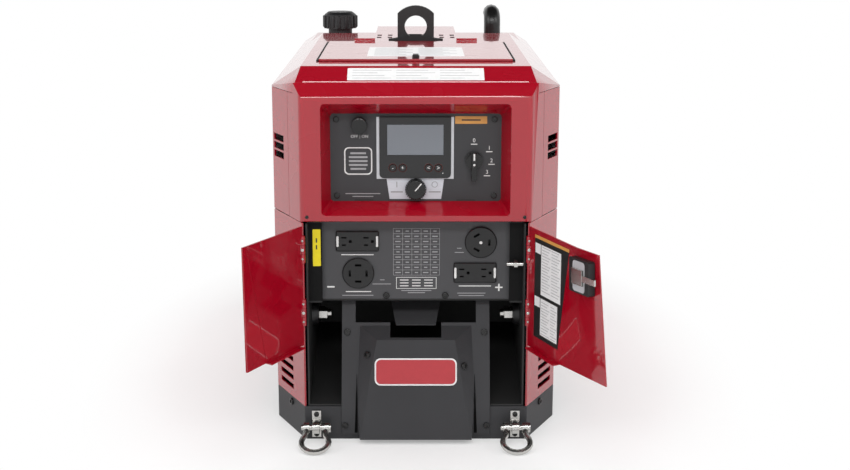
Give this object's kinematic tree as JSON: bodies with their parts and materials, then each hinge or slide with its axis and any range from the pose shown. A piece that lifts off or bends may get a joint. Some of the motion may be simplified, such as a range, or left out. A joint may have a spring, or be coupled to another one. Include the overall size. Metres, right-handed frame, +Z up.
{
  "type": "engine driven welder",
  "caption": "Compact engine driven welding generator in a sheet-metal enclosure with front doors, control panel, outlets, lift eye and tie-down shackles.",
  "frame": {"origin": "centre of the base's underside", "axes": "+Z up, -Y towards the front with the control panel, +X to the right as seen from the front"},
  "size_m": [0.5771, 1.0628, 0.717],
  "materials": {
    "red_paint": "gloss powder coat",
    "charcoal_paint": "fine satin powder coat",
    "black_plastic": "moulded, fine texture",
    "rubber": "matt",
    "grey_panel": "satin",
    "stainless": "bright stainless",
    "screen": "glossy, unlit",
    "cast_alloy": "as cast",
    "lamination": "varnished",
    "exhaust_black": "gloss black"
  },
  "bodies": {
    "enclosure": {"alternator_stator": "cast_alloy", "bail_boot": "rubber", "base_tray": "charcoal_paint", "battery": "black_plastic", "cable_bay": "black_plastic", "console_bracket": "charcoal_paint", "console_cover": "charcoal_paint", "control_panel": "grey_panel", "cylinder_left": "cast_alloy", "cylinder_right": "cast_alloy", "display_bezel": "black_plastic", "display_screen": "screen", "duplex_receptacle_left": "black_plastic", "duplex_receptacle_right": "black_plastic", "engine_block": "cast_alloy", "exhaust_pipe": "exhaust_black", "front_bezel": "red_paint", "fuel_tank": "black_plastic", "ground_stud": "stainless", "inverter_module": "cast_alloy", "left_hinge_pin": "stainless", "lift_bail": "charcoal_paint", "lift_frame": "charcoal_paint", "lower_side_left": "red_paint", "lower_side_right": "red_paint", "muffler": "exhaust_black", "output_panel": "grey_panel", "pad_eye_left": "stainless", "pad_eye_right": "stainless", "rear_panel": "red_paint", "right_hinge_pin": "stainless", "roof_panel": "red_paint", "round_receptacle_left": "black_plastic", "round_receptacle_right": "black_plastic", "stud_insulator_left": "black_plastic", "stud_insulator_right": "black_plastic", "upper_side_left": "red_paint", "upper_side_right": "red_paint", "weld_stud_left": "stainless", "weld_stud_right": "stainless"},
    "left_door": {"left_door": "red_paint"},
    "right_door": {"right_door": "red_paint", "latch_case": "black_plastic"},
    "latch_lever": {"latch_lever": "stainless"},
    "roof_lid": {"roof_lid": "red_paint"},
    "lid_latch": {"lid_latch": "black_plastic"},
    "select_knob": {"select_knob": "black_plastic"},
    "engine_switch": {"engine_switch": "black_plastic"},
    "choke_knob": {"choke_knob": "black_plastic"},
    "display_button_1": {"display_button_1": "black_plastic"},
    "display_button_2": {"display_button_2": "black_plastic"},
    "display_button_3": {"display_button_3": "black_plastic"},
    "display_button_4": {"display_button_4": "black_plastic"},
    "fuel_cap": {"fuel_cap": "black_plastic"},
    "left_shackle": {"shackle_bow_left": "stainless", "shackle_pin_left": "stainless"},
    "right_shackle": {"shackle_bow_right": "stainless", "shackle_pin_right": "stainless"},
    "crankshaft": {"crankshaft_fan": "cast_alloy", "alternator_rotor": "lamination"}
  },
  "joints": [
    {"name": "left_door_hinge", "type": "hinge", "parent": "enclosure", "child": "left_door", "pos_m": [-0.1915, -0.4298, 0.279], "axis": [0, 0, 1], "range_deg": [-40, 119]},
    {"name": "right_door_hinge", "type": "hinge", "parent": "enclosure", "child": "right_door", "pos_m": [0.1915, -0.4298, 0.279], "axis": [0, 0, -1], "range_deg": [-40, 113]},
    {"name": "latch_turn", "type": "hinge", "parent": "right_door", "child": "latch_lever", "pos_m": [0.25556, -0.59831, 0.343], "axis": [-0.8569, -0.5148, -0.0273], "range_deg": [0, 90]},
    {"name": "roof_lid_hinge", "type": "hinge", "parent": "enclosure", "child": "roof_lid", "pos_m": [0, 0.023, 0.6498], "axis": [-1, 0, 0], "range_deg": [0, 75]},
    {"name": "lid_latch_turn", "type": "hinge", "parent": "roof_lid", "child": "lid_latch", "pos_m": [0, -0.272, 0.651], "axis": [0, 0, 1], "range_deg": [0, 90]},
    {"name": "select_turn", "type": "hinge", "parent": "enclosure", "child": "select_knob", "pos_m": [0, -0.375, 0.437], "axis": [0, -1, 0], "continuous": true},
    {"name": "engine_switch_turn", "type": "hinge", "parent": "enclosure", "child": "engine_switch", "pos_m": [0.0996, -0.375, 0.4866], "axis": [0, -1, 0], "range_deg": [-90, 45]},
    {"name": "choke_pull", "type": "slide", "parent": "enclosure", "child": "choke_knob", "axis": [0, -1, 0], "range_m": [0, 0.03]},
    {"name": "button_1_press", "type": "slide", "parent": "enclosure", "child": "display_button_1", "axis": [0, 1, 0], "range_m": [0, 0.0008], "stiffness_N_per_m": 600},
    {"name": "button_2_press", "type": "slide", "parent": "enclosure", "child": "display_button_2", "axis": [0, 1, 0], "range_m": [0, 0.0008], "stiffness_N_per_m": 600},
    {"name": "button_3_press", "type": "slide", "parent": "enclosure", "child": "display_button_3", "axis": [0, 1, 0], "range_m": [0, 0.0008], "stiffness_N_per_m": 600},
    {"name": "button_4_press", "type": "slide", "parent": "enclosure", "child": "display_button_4", "axis": [0, 1, 0], "range_m": [0, 0.0008], "stiffness_N_per_m": 600},
    {"name": "fuel_cap_turn", "type": "hinge", "parent": "enclosure", "child": "fuel_cap", "pos_m": [-0.167, 0.361, 0.66], "axis": [0, 0, 1], "range_deg": [0, 180]},
    {"name": "left_shackle_swing", "type": "hinge", "parent": "enclosure", "child": "left_shackle", "pos_m": [-0.1725, -0.442, 0.028], "axis": [-1, 0, 0], "range_deg": [0, 105]},
    {"name": "right_shackle_swing", "type": "hinge", "parent": "enclosure", "child": "right_shackle", "pos_m": [0.1725, -0.442, 0.028], "axis": [-1, 0, 0], "range_deg": [0, 105]},
    {"name": "crankshaft_spin", "type": "hinge", "parent": "enclosure", "child": "crankshaft", "pos_m": [0, 0.1, 0.2], "axis": [0, 1, 0], "continuous": true}
  ]
}
